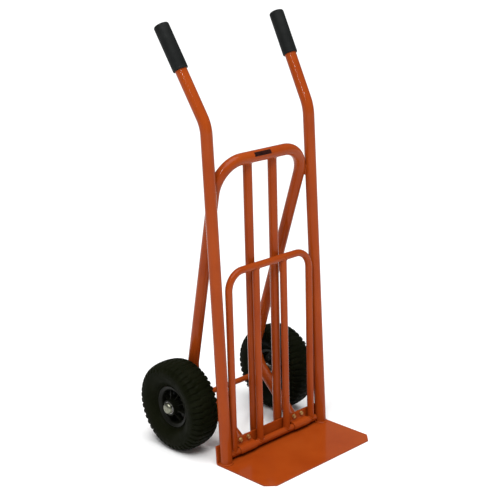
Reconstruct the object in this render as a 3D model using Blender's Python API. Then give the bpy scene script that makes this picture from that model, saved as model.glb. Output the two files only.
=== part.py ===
"""Two-wheeled hand truck with a fold-down toe extension.

Metres, +Z up. X runs across the truck, the toe plate points to -Y and the wheels stand at +Y.
The origin is on the underside of the toe plate, midway between the feet of the two uprights.
"""
from math import asin, cos, pi, radians, sin, sqrt, tan

import bmesh
import bpy
from mathutils import Matrix, Vector

# Clearance kept between pieces that touch, and at the coped ends of tubes
GAP = 0.0003
COPE_GAP = 0.0006

# Frame tubes
TUBE_R = 0.016
TUBE_WALL = 0.0015
TUBE_SIDES = 16
BEND_STEPS = 4
LEAN = radians(1.5)              # backward lean of the uprights and the upstand

# Uprights, which bend back into the handles
UPRIGHT_X = 0.186
HANDLE_BEND_Z = 0.923
HANDLE_BEND_R = 0.100
HANDLE_BACK = radians(28.4)
HANDLE_FLARE = radians(3.9)
HANDLE_LENGTH = 0.281
GRIP_LENGTH = 0.126
GRIP_R = 0.0203
GRIP_END_WALL = 0.004

# Toe plate: one sheet bent up at the back
PLATE_T = 0.005
PLATE_W = 0.410
PLATE_FRONT_Y = -0.186
UPSTAND_TOP = 0.0545
PLATE_BEND_R = 0.001             # inside radius of the bend
CORNER_CUT = 0.0245
FOOT_Z = PLATE_T + 0.0008        # underside of the uprights, clear of the bend

# Hoop frame: crossbar, legs that run down and back, struts that return to the upstand
HOOP_TOP = Vector((0.1630, 0.0150, 0.8222))
HOOP_KINK = Vector((0.1205, 0.2065, 0.1815))
HOOP_FOOT = Vector((0.1040, 0.0375, 0.0355))
HOOP_CORNER_R = 0.080
HOOP_KINK_R = 0.090

# Inner bars, welded behind the upstand and under the hoop's crossbar
BAR_R = 0.0125
BAR_WALL = 0.0012
BAR_X = 0.0455
BAR_FOOT_Z = 0.012
BAR_TOP_Y = 0.0275

# Toe extension, folded up in front of the bars
EXT_R = 0.010
EXT_WALL = 0.0012
EXT_SIDES = 12
SMALL_SIDES = 12                 # bars, axle, washers and bearings
EXT_OUTER_X = 0.1516
EXT_INNER_X = 0.0517
EXT_TOP_Y = 0.0020
EXT_TOP_Z = 0.5313
EXT_CORNER_R = 0.050
PIVOT_Z = 0.0209
PIVOT_HALF_LENGTH = 0.1675

# Hinge straps and their bolts
STRAP_X = 0.105
STRAP_W = 0.060
STRAP_T = 0.003
STRAP_TOP_Z = 0.0535
STRAP_CLEARANCE = 0.0004
STRAP_WRAP = 204                 # degrees round the pivot tube, from straight back over the top
BOLT_Z = 0.0478
BOLT_SPACING = 0.030
BOLT_R = 0.0029
BOLT_HEAD_R = 0.0063             # across the corners
NUT_R = 0.0058
BOLT_HEAD_H = 0.004
NUT_H = 0.005
HOLE_R = 0.0033

# Axle and wheels
AXLE_Y = 0.182
AXLE_R = 0.008
WHEEL_R = 0.1275
WHEEL_X = 0.191
TYRE_HALF_W = 0.0458
HUB_HALF_W = 0.038
BEARING_R = 0.0175
BEARING_W = 0.011
WASHER_T = 0.0016
RIM_BOLT_R = 0.033               # radius of the circle the rim bolts stand on
RIM_BOLTS = 4
WHEEL_STEPS = 28
RIM_STEPS = 20

# Label plate, wrapped on the crossbar
LABEL_X = (-0.042, 0.017)
LABEL_ELEVATION = (radians(8), radians(50))
LABEL_T = 0.0008

COLOURS = {
    # name: (linear colour, roughness, metallic)
    "orange_powder_coat": ((0.42, 0.072, 0.014, 1), 0.32, 0.0),
    "black_rubber": ((0.012, 0.012, 0.011, 1), 0.75, 0.0),
    "black_plastic": ((0.010, 0.010, 0.010, 1), 0.45, 0.0),
    "zinc": ((0.60, 0.57, 0.48, 1), 0.35, 1.0),
    "steel": ((0.45, 0.45, 0.45, 1), 0.35, 1.0),
    "label_brown": ((0.020, 0.008, 0.006, 1), 0.40, 0.0),
}


# ---------------------------------------------------------------- helpers

def clear_scene():
    for obj in list(bpy.context.scene.objects):
        bpy.data.objects.remove(obj, do_unlink=True)


def material(name):
    mat = bpy.data.materials.get(name)
    if mat:
        return mat
    colour, roughness, metallic = COLOURS[name]
    mat = bpy.data.materials.new(name)
    mat.use_nodes = True
    shader = mat.node_tree.nodes["Principled BSDF"]
    shader.inputs["Base Color"].default_value = colour
    shader.inputs["Roughness"].default_value = roughness
    shader.inputs["Metallic"].default_value = metallic
    mat.diffuse_color = colour
    return mat


def own_material(name, base):
    """A copy of a base finish for one object alone."""
    mat = material(base).copy()
    mat.name = name
    return mat


def add_object(name, bm, finish, origin=(0, 0, 0)):
    """Close a bmesh into an object whose origin lies at the given point."""
    bmesh.ops.recalc_face_normals(bm, faces=bm.faces)
    mesh = bpy.data.meshes.new(name)
    bm.to_mesh(mesh)
    bm.free()
    mesh.transform(Matrix.Translation(-Vector(origin)))
    mesh.shade_smooth()
    mesh.set_sharp_from_angle(angle=radians(35))
    mesh.materials.append(own_material(name + "_finish", finish))
    obj = bpy.data.objects.new(name, mesh)
    obj.location = origin
    bpy.context.scene.collection.objects.link(obj)
    return obj


def loft(rings, ring_closed):
    """Skin equal rings of points in order; a closed row of rings joins its last to its first."""
    bm = bmesh.new()
    rows = [[bm.verts.new(p) for p in ring] for ring in rings]
    count = len(rows[0])
    pairs = list(zip(rows, rows[1:]))
    if ring_closed:
        pairs.append((rows[-1], rows[0]))
    for a, b in pairs:
        for i in range(count):
            j = (i + 1) % count
            bm.faces.new((a[i], a[j], b[j], b[i]))
    if not ring_closed:
        bm.faces.new(rows[0])
        bm.faces.new(rows[-1])
    return bm


def prism(outline, x_low, x_high):
    """Extrude a (y, z) outline along X."""
    bm = bmesh.new()
    face = bm.faces.new([bm.verts.new((x_low, y, z)) for y, z in outline])
    grown = bmesh.ops.extrude_face_region(bm, geom=[face])["geom"]
    verts = [v for v in grown if isinstance(v, bmesh.types.BMVert)]
    bmesh.ops.translate(bm, vec=(x_high - x_low, 0, 0), verts=verts)
    return bm


def circle(centre, axis, radius, sides, reference=(1, 0, 0)):
    """A ring of points about an axis; its first point lies towards the reference."""
    axis = Vector(axis).normalized()
    side = Vector(reference)
    side = (side - axis * side.dot(axis)).normalized()
    other = axis.cross(side)
    centre = Vector(centre)
    return [centre + radius * (cos(a) * side + sin(a) * other)
            for a in (2 * pi * i / sides for i in range(sides))]


def hexagon(centre, axis, corner_radius, reference):
    """Twelve points on a hexagon: its corners and the middles of its sides."""
    corners = circle(centre, axis, corner_radius, 6, reference)
    middles = [(a + b) / 2 for a, b in zip(corners, corners[1:] + corners[:1])]
    return [p for pair in zip(corners, middles) for p in pair]


def rounded_path(points, radii, steps):
    """Replace the inner corners of a polyline with arcs of the given radii."""
    path = [Vector(points[0])]
    for before, corner, after, radius in zip(points, points[1:], points[2:], radii):
        corner = Vector(corner)
        d_in = (corner - Vector(before)).normalized()
        d_out = (Vector(after) - corner).normalized()
        turn = d_in.angle(d_out)
        reach = radius * tan(turn / 2)
        inward = (d_out - d_in).normalized()
        centre = corner + inward * (radius / cos(turn / 2))
        first = corner - d_in * reach - centre
        spin_axis = d_in.cross(d_out).normalized()
        for k in range(steps + 1):
            path.append(centre + Matrix.Rotation(turn * k / steps, 3, spin_axis) @ first)
    path.append(Vector(points[-1]))
    return path


def path_rings(path, radius, sides):
    """Rings square to a path, carried along it without twist."""
    rings = []
    reference = Vector((1, 0, 0)) if abs((path[1] - path[0]).normalized().x) < 0.9 else Vector((0, 1, 0))
    for i, point in enumerate(path):
        before = path[max(i - 1, 0)]
        after = path[min(i + 1, len(path) - 1)]
        d_in = (point - before).normalized() if i else (after - point).normalized()
        d_out = (after - point).normalized() if i < len(path) - 1 else d_in
        axis = (d_in + d_out).normalized()
        stretch = 1 / cos(d_in.angle(d_out) / 2)
        reference = (reference - axis * reference.dot(axis)).normalized()
        ring = circle(point, axis, radius, sides, reference)
        bend = d_out - d_in
        if bend.length > 1e-6:
            bend.normalize()
            ring = [p + bend * (p - point).dot(bend) * (stretch - 1) for p in ring]
        rings.append(ring)
    return rings


def to_plane(ring, direction, plane_point, plane_normal):
    """Slide a ring's points along a direction until they lie on a plane."""
    direction = Vector(direction)
    normal = Vector(plane_normal)
    return [p + direction * ((Vector(plane_point) - p).dot(normal) / direction.dot(normal)) for p in ring]


def tube(path, radius, wall, sides, trim_start=None, trim_end=None):
    """An open-ended hollow tube; a trim takes an end ring and returns it cut to its neighbour."""
    outer = path_rings(path, radius, sides)
    inner = path_rings(path, radius - wall, sides)
    for rings in (outer, inner):
        if trim_start:
            rings[0] = trim_start(rings[0])
        if trim_end:
            rings[-1] = trim_end(rings[-1])
    return loft(outer + inner[::-1], ring_closed=True)


def saddle(y, z, radius, above):
    """A trim that copes an upright tube's end onto a tube along X."""
    reach = radius + COPE_GAP
    floor = 0.5 * reach

    def trim(ring):
        shaped = []
        for p in ring:
            drop = sqrt(max(reach ** 2 - (p.y - y) ** 2, floor ** 2))
            shaped.append(Vector((p.x, p.y, z + drop if above else z - drop)))
        return shaped
    return trim


def lathe(profile, x_centre, side, y, z, steps, closed=True):
    """Turn a profile of (u, r) about an X axis; u points away from the truck on either side."""
    rings = [circle((x_centre + side * u, y, z), (side, 0, 0), r, steps, (0, 0, 1)) for u, r in profile]
    return loft(rings, ring_closed=closed)


def cutter(name, bodies):
    """A hidden object made of closed bodies, for Boolean modifiers."""
    bm = bmesh.new()
    for body in bodies:
        bmesh.ops.recalc_face_normals(body, faces=body.faces)
        piece = bpy.data.meshes.new(name)
        body.to_mesh(piece)
        body.free()
        bm.from_mesh(piece)
        bpy.data.meshes.remove(piece)
    mesh = bpy.data.meshes.new(name)
    bm.to_mesh(mesh)
    bm.free()
    obj = bpy.data.objects.new(name, mesh)
    obj.hide_render = True
    obj.display_type = "WIRE"
    bpy.context.scene.collection.objects.link(obj)
    return obj


def cut(obj, tool):
    modifier = obj.modifiers.new("cut", "BOOLEAN")
    modifier.operation = "DIFFERENCE"
    modifier.solver = "EXACT"
    modifier.object = tool


# ---------------------------------------------------------------- shared geometry

# Unit vectors square to the upstand and up along it
BACKWARD = Vector((0, cos(LEAN), -sin(LEAN)))
UPWARD = Vector((0, sin(LEAN), cos(LEAN)))

UPSTAND_FRONT = TUBE_R + GAP                  # distances along BACKWARD from the origin
UPSTAND_BACK = UPSTAND_FRONT + PLATE_T
PIVOT_DEPTH = UPSTAND_FRONT - GAP - EXT_R


def at_depth(depth, z):
    """The (y, z) point at a height whose distance along BACKWARD is given."""
    return ((depth + z * sin(LEAN)) / cos(LEAN), z)


PIVOT_Y = at_depth(PIVOT_DEPTH, PIVOT_Z)[0]
BAR_GUIDE_Z = UPSTAND_TOP
BAR_GUIDE_Y = at_depth(UPSTAND_BACK + GAP + BAR_R, BAR_GUIDE_Z)[0] + GAP


def bolt_positions():
    for side, word in ((-1, "left"), (1, "right")):
        for index, step in enumerate((-0.5, 0.5), start=1):
            yield word, index, side * STRAP_X + step * BOLT_SPACING


def hole_body(x):
    """A drill along BACKWARD through the strap and the upstand."""
    y, z = at_depth(0.0, BOLT_Z)
    start = Vector((x, y, z))
    return loft([circle(start, BACKWARD, HOLE_R, 8),
                 circle(start + BACKWARD * 0.035, BACKWARD, HOLE_R, 8)], ring_closed=False)


# ---------------------------------------------------------------- fixed frame

def build_toe_plate():
    bend_in = PLATE_BEND_R
    bend_out = PLATE_BEND_R + PLATE_T
    centre_y, centre_z = at_depth(UPSTAND_FRONT - bend_in, PLATE_T + bend_in)
    turn = pi / 2 - LEAN
    arc = [k * turn / 4 for k in range(5)]
    outer = [(centre_y + bend_out * sin(a), centre_z - bend_out * cos(a)) for a in arc]
    inner = [(centre_y + bend_in * sin(a), centre_z - bend_in * cos(a)) for a in reversed(arc)]
    outline = [(PLATE_FRONT_Y, 0.0)] + outer
    outline += [at_depth(UPSTAND_BACK, UPSTAND_TOP), at_depth(UPSTAND_FRONT, UPSTAND_TOP)]
    outline += inner + [(PLATE_FRONT_Y, PLATE_T)]
    plate = add_object("toe_plate", prism(outline, -PLATE_W / 2, PLATE_W / 2), "orange_powder_coat")
    cut(plate, cutter("plate_corner_cutter", [corner_body(-1), corner_body(1)]))
    cut(plate, cutter("plate_hole_cutter", [hole_body(x) for _, _, x in bolt_positions()]))


def corner_body(side):
    """A prism that takes one front corner off the toe plate."""
    x = side * PLATE_W / 2
    spare = 0.01
    triangle = [(x + side * spare, PLATE_FRONT_Y - spare),
                (x + side * spare, PLATE_FRONT_Y + CORNER_CUT + spare),
                (x - side * (CORNER_CUT + spare), PLATE_FRONT_Y - spare)]
    rings = [[Vector((px, py, z)) for px, py in triangle] for z in (-spare, PLATE_T + spare)]
    return loft(rings, ring_closed=False)


def handle_frame(side):
    """The bend's corner point and the handle's direction."""
    corner = Vector((side * UPRIGHT_X, tan(LEAN) * HANDLE_BEND_Z, HANDLE_BEND_Z))
    direction = Vector((side * sin(HANDLE_FLARE),
                        cos(HANDLE_FLARE) * sin(HANDLE_BACK),
                        cos(HANDLE_FLARE) * cos(HANDLE_BACK)))
    return corner, direction


def build_upright(side, word):
    corner, direction = handle_frame(side)
    end = corner + direction * (HANDLE_LENGTH - GRIP_END_WALL - GAP)
    foot = Vector((side * UPRIGHT_X, 0, 0)) + UPWARD * (FOOT_Z / UPWARD.z)
    path = rounded_path([foot, corner, end], [HANDLE_BEND_R], BEND_STEPS)

    def trim_foot(ring):
        return to_plane(ring, UPWARD, (0, 0, FOOT_Z), (0, 0, 1))
    add_object(word + "_upright", tube(path, TUBE_R, TUBE_WALL, TUBE_SIDES, trim_start=trim_foot),
               "orange_powder_coat")


def build_grip(side, word):
    corner, direction = handle_frame(side)
    bore = TUBE_R + COPE_GAP
    tip = HANDLE_LENGTH
    mouth = tip - GRIP_LENGTH
    profile = [(tip - GRIP_END_WALL, bore * 0.5), (tip - GRIP_END_WALL, bore), (mouth, bore),
               (mouth, GRIP_R - 0.001), (mouth + 0.001, GRIP_R), (tip - 0.004, GRIP_R),
               (tip - 0.0012, GRIP_R - 0.0012), (tip, GRIP_R - 0.004)]
    rings = [circle(corner + direction * s, direction, r, TUBE_SIDES) for s, r in profile]
    add_object(word + "_grip", loft(rings, ring_closed=False), "black_rubber", corner + direction * mouth)


def build_hoop():
    def mirrored(p):
        return Vector((-p.x, p.y, p.z))
    points = [mirrored(HOOP_FOOT), mirrored(HOOP_KINK), mirrored(HOOP_TOP), HOOP_TOP, HOOP_KINK, HOOP_FOOT]
    radii = [HOOP_KINK_R, HOOP_CORNER_R, HOOP_CORNER_R, HOOP_KINK_R]
    path = rounded_path(points, radii, BEND_STEPS)
    plane_point = BACKWARD * (UPSTAND_BACK + GAP)

    def trim_foot(mirror_x):
        direction = (HOOP_FOOT - HOOP_KINK).normalized()
        if mirror_x:
            direction.x = -direction.x
        return lambda ring: to_plane(ring, direction, plane_point, BACKWARD)
    add_object("hoop_frame", tube(path, TUBE_R, TUBE_WALL, TUBE_SIDES, trim_foot(True), trim_foot(False)),
               "orange_powder_coat")


def build_inner_bar(side, word):
    slope = (BAR_TOP_Y - BAR_GUIDE_Y) / (HOOP_TOP.z - BAR_GUIDE_Z)
    foot = Vector((side * BAR_X, BAR_GUIDE_Y + slope * (BAR_FOOT_Z - BAR_GUIDE_Z), BAR_FOOT_Z))
    top = Vector((side * BAR_X, BAR_TOP_Y, HOOP_TOP.z))
    body = tube([foot, top], BAR_R, BAR_WALL, SMALL_SIDES,
                trim_end=saddle(HOOP_TOP.y, HOOP_TOP.z, TUBE_R, above=False))
    add_object(word + "_inner_bar", body, "orange_powder_coat")


def build_axle():
    half = WHEEL_X + HUB_HALF_W + 0.0075
    collar_out = WHEEL_X - HUB_HALF_W - WASHER_T - 2 * GAP
    collar_in = collar_out - 0.005
    chamfer = 0.001
    profile = [(-half, AXLE_R - chamfer), (-half + chamfer, AXLE_R), (-collar_out, AXLE_R),
               (-collar_out, 0.012), (-collar_in, 0.012), (-collar_in, AXLE_R)]
    profile += [(-u, r) for u, r in reversed(profile)]
    add_object("axle", lathe(profile, 0, 1, AXLE_Y, WHEEL_R, SMALL_SIDES, closed=False),
               "orange_powder_coat", (0, AXLE_Y, WHEEL_R))


def build_label():
    low, high = LABEL_ELEVATION
    inner = TUBE_R + GAP
    steps = [low + (high - low) * k / 4 for k in range(5)]

    def on_arc(radius, angle):
        return (HOOP_TOP.y - radius * cos(angle), HOOP_TOP.z + radius * sin(angle))
    outline = [on_arc(inner, a) for a in steps] + [on_arc(inner + LABEL_T, a) for a in reversed(steps)]
    add_object("label_plate", prism(outline, *LABEL_X), "label_brown")


# ---------------------------------------------------------------- toe extension and its hinge

def build_extension():
    origin = (0, PIVOT_Y, PIVOT_Z)
    onto_pivot = saddle(PIVOT_Y, PIVOT_Z, EXT_R, above=True)
    low_left = Vector((-EXT_OUTER_X, PIVOT_Y, PIVOT_Z))
    low_right = Vector((EXT_OUTER_X, PIVOT_Y, PIVOT_Z))
    high_left = Vector((-EXT_OUTER_X, EXT_TOP_Y, EXT_TOP_Z))
    high_right = Vector((EXT_OUTER_X, EXT_TOP_Y, EXT_TOP_Z))
    path = rounded_path([low_left, high_left, high_right, low_right], [EXT_CORNER_R] * 2, BEND_STEPS)
    add_object("extension_hoop", tube(path, EXT_R, EXT_WALL, EXT_SIDES, onto_pivot, onto_pivot),
               "orange_powder_coat", origin)
    for side, word in ((-1, "left"), (1, "right")):
        foot = Vector((side * EXT_INNER_X, PIVOT_Y, PIVOT_Z))
        top = Vector((side * EXT_INNER_X, EXT_TOP_Y, EXT_TOP_Z))
        under_crossbar = saddle(EXT_TOP_Y, EXT_TOP_Z, EXT_R, above=False)
        body = tube([foot, top], EXT_R, EXT_WALL, EXT_SIDES, onto_pivot, under_crossbar)
        add_object("extension_" + word + "_bar", body, "orange_powder_coat", origin)
    ends = [Vector((x, PIVOT_Y, PIVOT_Z)) for x in (-PIVOT_HALF_LENGTH, PIVOT_HALF_LENGTH)]
    add_object("extension_pivot_tube", tube(ends, EXT_R, EXT_WALL, TUBE_SIDES), "orange_powder_coat", origin)


def strap_outline():
    """Side view of a strap: flat on the upstand, then hooked closely round the pivot tube."""
    inner = EXT_R + STRAP_CLEARANCE
    outer = inner + STRAP_T
    back = UPSTAND_FRONT - GAP
    front = back - STRAP_T

    def on_arc(radius, angle):
        return at_depth(PIVOT_DEPTH + radius * cos(angle), PIVOT_Z + radius * sin(angle))
    inner_arc = [on_arc(inner, radians(a)) for a in range(48, STRAP_WRAP + 1, 12)]
    outer_arc = [on_arc(outer, radians(a)) for a in range(STRAP_WRAP, 65, -12)]
    shoulder = PIVOT_Z + outer * sin(radians(64)) + 0.001
    outline = [at_depth(back, STRAP_TOP_Z), at_depth(back, PIVOT_Z + inner * sin(radians(48)))]
    outline += inner_arc + outer_arc + [at_depth(front, shoulder), at_depth(front, STRAP_TOP_Z)]
    return outline


def build_straps():
    outline = strap_outline()
    tool = cutter("strap_hole_cutter", [hole_body(x) for _, _, x in bolt_positions()])
    for side, word in ((-1, "left"), (1, "right")):
        centre = side * STRAP_X
        body = prism(outline, centre - STRAP_W / 2, centre + STRAP_W / 2)
        cut(add_object(word + "_hinge_strap", body, "orange_powder_coat"), tool)


def along_bolt(x, depth):
    """A point on a hinge bolt's axis, which runs square through the upstand."""
    y, z = at_depth(0.0, BOLT_Z)
    return Vector((x, y, z)) + BACKWARD * depth


def build_hinge_fasteners():
    seat = UPSTAND_FRONT - GAP - STRAP_T - GAP
    nut_front = UPSTAND_BACK + GAP
    shank_end = nut_front + NUT_H + 0.002
    for word, index, x in bolt_positions():
        up = UPWARD
        rings = [hexagon(along_bolt(x, seat - BOLT_HEAD_H), BACKWARD, BOLT_HEAD_R - 0.0006, up),
                 hexagon(along_bolt(x, seat - BOLT_HEAD_H + 0.0006), BACKWARD, BOLT_HEAD_R, up),
                 hexagon(along_bolt(x, seat), BACKWARD, BOLT_HEAD_R, up),
                 circle(along_bolt(x, seat), BACKWARD, BOLT_R, 12, up),
                 circle(along_bolt(x, shank_end), BACKWARD, BOLT_R, 12, up)]
        origin = along_bolt(x, seat)
        add_object(f"{word}_hinge_bolt_{index}", loft(rings, ring_closed=False), "zinc", origin)
        rings = [hexagon(along_bolt(x, nut_front), BACKWARD, NUT_R, up),
                 hexagon(along_bolt(x, nut_front + NUT_H), BACKWARD, NUT_R, up),
                 circle(along_bolt(x, nut_front + NUT_H), BACKWARD, HOLE_R, 12, up),
                 circle(along_bolt(x, nut_front), BACKWARD, HOLE_R, 12, up)]
        add_object(f"{word}_hinge_nut_{index}", loft(rings, ring_closed=True), "zinc", origin)


# ---------------------------------------------------------------- wheels

CAVITY_R = 0.086                 # middle radius of the tyre's cavity
CAVITY_HALF_W = 0.0334
CAVITY_HALF_H = 0.0314
BEAD_U = 0.014                   # half the gap between the tyre's beads
BEAD_R = 0.0515
WEB_T = 0.0045


def tyre_profile():
    """Closed section of the tyre: tread and sidewalls outside, an oval cavity inside."""
    outside = [(0.0225, BEAD_R), (0.0225, 0.0602), (0.0360, 0.0700), (0.0443, 0.0840), (TYRE_HALF_W, 0.0985),
               (0.0428, 0.1125), (0.0330, 0.1228), (0.0, WHEEL_R)]
    right = [(BEAD_U, BEAD_R)] + outside
    toe_angle = asin(BEAD_U / CAVITY_HALF_W)
    cavity = []
    for k in range(7):
        a = pi - toe_angle - (pi - toe_angle) * k / 6
        cavity.append((CAVITY_HALF_W * sin(a), CAVITY_R + CAVITY_HALF_H * cos(a)))
    left = [(-u, r) for u, r in right[-2::-1]]
    left_cavity = [(-u, r) for u, r in cavity]
    return right + left + left_cavity + cavity[-2::-1]


def rim_profile():
    """Closed section of one rim half: hub with a bearing seat, web, barrel and flange."""
    bore = BEARING_R + GAP
    seat = HUB_HALF_W - BEARING_W - GAP
    mid = GAP / 2
    return [(mid, 0.0140), (seat, 0.0140), (seat, bore), (HUB_HALF_W, bore), (HUB_HALF_W, 0.0215),
            (0.0085, 0.0228), (WEB_T, 0.0260), (WEB_T, 0.0435), (0.0215, 0.0478),
            (0.0270, 0.0585), (0.0250, 0.0592), (0.0232, 0.0580), (0.0228, BEAD_R - GAP), (mid, 0.0492)]


def rim_bolt_centres():
    for index in range(RIM_BOLTS):
        angle = 2 * pi * (index + 0.5) / RIM_BOLTS
        yield index + 1, AXLE_Y + RIM_BOLT_R * sin(angle), WHEEL_R + RIM_BOLT_R * cos(angle)


def rim_bolt_holes(side):
    holes = []
    for _, y, z in rim_bolt_centres():
        rings = [circle((side * (WHEEL_X + u), y, z), (1, 0, 0), HOLE_R, 8, (0, 0, 1)) for u in (-0.012, 0.012)]
        holes.append(loft(rings, ring_closed=False))
    return holes


VALVE_R = 0.0032
VALVE_START = (0.008, 0.0530)    # (u, r) of the stem's ends
VALVE_END = (0.0176, 0.0340)


def valve_point(side, share):
    """A point on the valve's axis, which lies straight above the axle."""
    u = VALVE_START[0] + (VALVE_END[0] - VALVE_START[0]) * share
    r = VALVE_START[1] + (VALVE_END[1] - VALVE_START[1]) * share
    return Vector((side * (WHEEL_X + u), AXLE_Y, WHEEL_R + r))


def valve_body(side, radius, start, end):
    a = valve_point(side, start)
    b = valve_point(side, end)
    return loft([circle(a, b - a, radius, 10), circle(b, b - a, radius, 10)], ring_closed=False)


def build_inner_tube(side, word, origin):
    """A thin hollow ring, pierced where the valve stem opens into it."""
    clearance = 0.0022
    wall = 0.0015
    steps = 10

    def oval(shrink):
        return [(sin(2 * pi * k / steps) * (CAVITY_HALF_W - shrink),
                 CAVITY_R - cos(2 * pi * k / steps) * (CAVITY_HALF_H - shrink)) for k in range(steps)]
    shell = lathe(oval(clearance), side * WHEEL_X, side, AXLE_Y, WHEEL_R, RIM_STEPS)
    hollow = lathe(oval(clearance + wall), side * WHEEL_X, side, AXLE_Y, WHEEL_R, RIM_STEPS)
    obj = add_object(word + "_inner_tube", shell, "black_rubber", origin)
    hole = loft([circle((side * WHEEL_X, AXLE_Y, WHEEL_R + r), (0, 0, 1), 0.004, 8) for r in (0.050, 0.062)],
                ring_closed=False)
    cut(obj, cutter(word + "_tube_hollow_cutter", [hollow]))
    cut(obj, cutter(word + "_tube_hole_cutter", [hole]))


def build_rims(side, word, origin):
    holes = cutter(word + "_rim_hole_cutter", rim_bolt_holes(side))
    valve_hole = cutter(word + "_valve_hole_cutter", [valve_body(side, VALVE_R + 0.0004, -0.05, 0.6)])
    for half, flip in (("outer", 1), ("inner", -1)):
        profile = [(flip * u, r) for u, r in rim_profile()]
        body = lathe(profile, side * WHEEL_X, side, AXLE_Y, WHEEL_R, RIM_STEPS)
        obj = add_object(f"{word}_rim_{half}", body, "black_plastic", origin)
        cut(obj, holes)
        if half == "outer":
            cut(obj, valve_hole)


def build_rim_bolts(side, word):
    for index, y, z in rim_bolt_centres():
        seat = WEB_T + GAP
        spans = [(seat + 0.0034, 0.0052), (seat + 0.0040, 0.0058), (seat, 0.0058)]
        rings = [hexagon((side * (WHEEL_X + u), y, z), (1, 0, 0), r, (0, 0, 1)) for u, r in
                 ((spans[1][0], spans[0][1]), (spans[0][0], spans[1][1]), spans[2])]
        rings += [circle((side * (WHEEL_X + u), y, z), (1, 0, 0), BOLT_R, 12, (0, 0, 1)) for u in (seat, -0.009)]
        add_object(f"{word}_rim_bolt_{index}", loft(rings, ring_closed=False), "zinc",
                   (side * (WHEEL_X + seat), y, z))


def build_hub_parts(side, word, origin):
    bore = AXLE_R + GAP

    def ring_part(name, u_low, u_high, r_in, r_out, finish):
        profile = [(u_low, r_in), (u_high, r_in), (u_high, r_out), (u_low, r_out)]
        add_object(name, lathe(profile, side * WHEEL_X, side, AXLE_Y, WHEEL_R, SMALL_SIDES), finish, origin)
    outer_face = HUB_HALF_W
    ring_part(word + "_bearing_outer", outer_face - BEARING_W, outer_face, bore, BEARING_R, "steel")
    ring_part(word + "_bearing_inner", -outer_face, BEARING_W - outer_face, bore, BEARING_R, "steel")
    ring_part(word + "_washer_outer", outer_face + GAP, outer_face + GAP + WASHER_T, bore, 0.0145, "zinc")
    ring_part(word + "_washer_inner", -outer_face - GAP - WASHER_T, -outer_face - GAP, bore, 0.0145, "zinc")
    seat = outer_face + WASHER_T + 2 * GAP
    tip = seat + 0.0095
    profile = [(tip - 0.0015, bore * 0.5), (tip - 0.0015, bore), (seat, bore), (seat, 0.0165),
               (seat + 0.0012, 0.0165), (seat + 0.0050, 0.0135), (tip, 0.0060)]
    add_object(word + "_hub_cap", lathe(profile, side * WHEEL_X, side, AXLE_Y, WHEEL_R, TUBE_SIDES, closed=False),
               "zinc", origin)


def build_wheel(side, word):
    origin = (side * WHEEL_X, AXLE_Y, WHEEL_R)
    tyre = lathe(tyre_profile(), side * WHEEL_X, side, AXLE_Y, WHEEL_R, WHEEL_STEPS)
    add_object(word + "_tyre", tyre, "black_rubber", origin)
    build_inner_tube(side, word, origin)
    build_rims(side, word, origin)
    build_rim_bolts(side, word)
    build_hub_parts(side, word, origin)
    add_object(word + "_valve_stem", valve_body(side, VALVE_R, 0.0, 1.0), "black_rubber", origin)


# ---------------------------------------------------------------- assembly

def main():
    clear_scene()
    build_toe_plate()
    build_hoop()
    build_axle()
    build_label()
    build_extension()
    build_straps()
    build_hinge_fasteners()
    for side, word in ((-1, "left"), (1, "right")):
        build_upright(side, word)
        build_grip(side, word)
        build_inner_bar(side, word)
        build_wheel(side, word)


main()
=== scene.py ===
"""Looks of the two-wheeled hand truck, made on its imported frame.

Smooth tubes, weld beads, treaded tyres, fasteners, finishes, light and camera.
Metres, +Z up, in the frame's own coordinates: the toe plate points to -Y, the wheels stand at +Y.
"""
from math import asin, cos, pi, radians, sin, sqrt, tan

import bmesh
import bpy
from mathutils import Matrix, Vector

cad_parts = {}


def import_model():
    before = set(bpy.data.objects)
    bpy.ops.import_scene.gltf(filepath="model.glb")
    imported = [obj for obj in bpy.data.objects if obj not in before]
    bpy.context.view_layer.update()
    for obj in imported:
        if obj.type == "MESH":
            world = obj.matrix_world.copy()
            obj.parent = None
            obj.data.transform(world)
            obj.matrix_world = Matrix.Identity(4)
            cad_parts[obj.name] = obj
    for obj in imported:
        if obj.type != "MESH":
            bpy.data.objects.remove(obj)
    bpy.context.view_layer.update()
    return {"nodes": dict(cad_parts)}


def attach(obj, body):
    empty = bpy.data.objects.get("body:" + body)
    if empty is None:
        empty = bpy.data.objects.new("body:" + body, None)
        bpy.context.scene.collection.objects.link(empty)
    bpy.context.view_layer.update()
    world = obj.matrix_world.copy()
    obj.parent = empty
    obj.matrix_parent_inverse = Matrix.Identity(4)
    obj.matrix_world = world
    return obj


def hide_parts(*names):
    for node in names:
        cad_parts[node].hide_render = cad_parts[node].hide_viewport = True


# ---- dimensions, as in the CAD source

TUBE_R = 0.016
TUBE_WALL = 0.0015
THIN_WALL = 0.0012
LEAN = radians(1.5)
UPRIGHT_X = 0.186
HANDLE_BEND_Z = 0.923
HANDLE_BEND_R = 0.100
HANDLE_BACK = radians(28.4)
HANDLE_FLARE = radians(3.9)
HANDLE_LENGTH = 0.281
GRIP_LENGTH = 0.126
GRIP_R = 0.0203
GRIP_END_T = 0.0045

PLATE_T = 0.005
PLATE_W = 0.410
PLATE_FRONT_Y = -0.186
UPSTAND_TOP = 0.0545
PLATE_BEND_R = 0.001
CORNER_CUT = 0.0245

HOOP_TOP = Vector((0.1630, 0.0150, 0.8222))
HOOP_KINK = Vector((0.1205, 0.2065, 0.1815))
HOOP_FOOT = Vector((0.1040, 0.0375, 0.0355))
HOOP_CORNER_R = 0.080
HOOP_KINK_R = 0.090

BAR_R = 0.0125
BAR_X = 0.0455
BAR_FOOT_Z = 0.012
BAR_TOP_Y = 0.0275

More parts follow.
